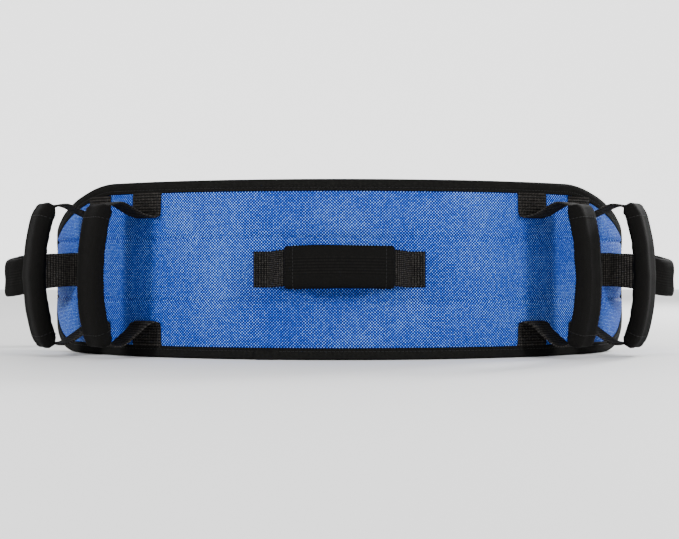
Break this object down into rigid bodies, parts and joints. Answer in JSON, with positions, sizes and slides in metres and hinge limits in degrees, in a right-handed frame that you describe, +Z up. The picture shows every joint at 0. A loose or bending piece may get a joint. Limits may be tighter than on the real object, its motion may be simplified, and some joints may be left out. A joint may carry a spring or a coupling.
{
  "type": "gait belt",
  "caption": "Padded gait belt for helping a person stand and walk: curved back panel, grab handles, adjustable webbing strap and side-release buckle.",
  "frame": {"origin": "middle of the belt's bounding box at the plane it stands on", "axes": "+Z up, -Y the way the panel's blue outer face looks, +X towards the end where the strap leaves the panel"},
  "size_m": [0.6538, 0.3596, 0.16],
  "materials": {
    "blue_cloth": "woven blue polyester cloth, coarse basket weave",
    "black_cloth": "fine black woven tape and cloth",
    "spacer_mesh": "open black spacer mesh",
    "foam": "closed-cell foam pad",
    "webbing": "ribbed black webbing",
    "sleeve_cloth": "smooth matt black sleeve cloth",
    "black_plastic": "satin moulded plastic"
  },
  "bodies": {
    "panel": {"outer_shell": "blue_cloth", "foam_core": "foam", "mesh_lining": "spacer_mesh", "channel_cover": "black_cloth", "edge_binding": "black_cloth", "waist_webbing": "webbing", "receiver_tab": "webbing", "buckle_receiver": "black_plastic", "centre_handle_left_anchor": "webbing", "centre_handle_right_anchor": "webbing", "left_inner_handle_top_anchor": "webbing", "left_inner_handle_bottom_anchor": "webbing", "left_outer_handle_top_anchor": "webbing", "left_outer_handle_bottom_anchor": "webbing", "left_side_handle_left_anchor": "webbing", "left_side_handle_right_anchor": "webbing", "right_inner_handle_top_anchor": "webbing", "right_inner_handle_bottom_anchor": "webbing", "right_outer_handle_top_anchor": "webbing", "right_outer_handle_bottom_anchor": "webbing", "right_side_handle_left_anchor": "webbing", "right_side_handle_right_anchor": "webbing"},
    "centre_handle": {"centre_handle_webbing": "webbing", "centre_handle_grip": "sleeve_cloth"},
    "left_inner_handle": {"left_inner_handle_webbing": "webbing", "left_inner_handle_grip": "sleeve_cloth"},
    "left_outer_handle": {"left_outer_handle_webbing": "webbing", "left_outer_handle_grip": "sleeve_cloth"},
    "left_side_handle": {"left_side_handle_webbing": "webbing", "left_side_handle_grip": "sleeve_cloth"},
    "right_inner_handle": {"right_inner_handle_webbing": "webbing", "right_inner_handle_grip": "sleeve_cloth"},
    "right_outer_handle": {"right_outer_handle_webbing": "webbing", "right_outer_handle_grip": "sleeve_cloth"},
    "right_side_handle": {"right_side_handle_webbing": "webbing", "right_side_handle_grip": "sleeve_cloth"},
    "strap": {"front_strap": "webbing", "buckle_base": "black_plastic"},
    "slider": {"slider": "black_plastic"},
    "tail": {"strap_tail": "webbing"},
    "upper_prong": {"upper_prong": "black_plastic"},
    "lower_prong": {"lower_prong": "black_plastic"}
  },
  "joints": [
    {"name": "centre_handle_swing", "type": "hinge", "parent": "panel", "child": "centre_handle", "pos_m": [0, -0.14038, 0.08], "axis": [1, 0, 0], "range_deg": [-38, 38], "stiffness_Nm_per_rad": 0.03},
    {"name": "left_inner_handle_swing", "type": "hinge", "parent": "panel", "child": "left_inner_handle", "pos_m": [-0.17538, -0.10092, 0.08], "axis": [0, 0, -1], "range_deg": [-70, 10], "stiffness_Nm_per_rad": 0.03},
    {"name": "left_outer_handle_swing", "type": "hinge", "parent": "panel", "child": "left_outer_handle", "pos_m": [-0.22445, -0.06515, 0.08], "axis": [0, 0, -1], "range_deg": [-30, 8], "stiffness_Nm_per_rad": 0.03},
    {"name": "left_side_handle_swing", "type": "hinge", "parent": "panel", "child": "left_side_handle", "pos_m": [-0.26698, -0.00638, 0.08], "axis": [0.4635, -0.8861, 0], "range_deg": [-40, 40], "stiffness_Nm_per_rad": 0.03},
    {"name": "right_inner_handle_swing", "type": "hinge", "parent": "panel", "child": "right_inner_handle", "pos_m": [0.17538, -0.10092, 0.08], "axis": [0, 0, 1], "range_deg": [-70, 10], "stiffness_Nm_per_rad": 0.03},
    {"name": "right_outer_handle_swing", "type": "hinge", "parent": "panel", "child": "right_outer_handle", "pos_m": [0.22445, -0.06515, 0.08], "axis": [0, 0, 1], "range_deg": [-30, 8], "stiffness_Nm_per_rad": 0.03},
    {"name": "right_side_handle_swing", "type": "hinge", "parent": "panel", "child": "right_side_handle", "pos_m": [0.26698, -0.00638, 0.08], "axis": [0.4635, 0.8861, 0], "range_deg": [-40, 40], "stiffness_Nm_per_rad": 0.03},
    {"name": "strap_swing", "type": "hinge", "parent": "panel", "child": "strap", "pos_m": [0.2773, 0.1053, 0.08], "axis": [0, 0, 1], "range_deg": [-110, 0]},
    {"name": "slider_travel", "type": "slide", "parent": "strap", "child": "slider", "axis": [-0.995, 0.0746, -0.0663], "range_m": [-0.036, 0.046]},
    {"name": "tail_swing", "type": "hinge", "parent": "strap", "child": "tail", "pos_m": [-0.2723, 0.14082, 0.08], "axis": [0, 0, 1], "range_deg": [0, 80]},
    {"name": "upper_prong_squeeze", "type": "hinge", "parent": "strap", "child": "upper_prong", "pos_m": [-0.2773, 0.1243, 0.099], "axis": [1, 0, 0], "range_deg": [0, 8], "stiffness_Nm_per_rad": 0.6},
    {"name": "lower_prong_squeeze", "type": "hinge", "parent": "strap", "child": "lower_prong", "pos_m": [-0.2773, 0.1243, 0.061], "axis": [1, 0, 0], "range_deg": [-8, 0], "stiffness_Nm_per_rad": 0.6}
  ],
  "couplings": [
    {"joint": "lower_prong_squeeze", "follows": "upper_prong_squeeze", "ratio": -1}
  ]
}
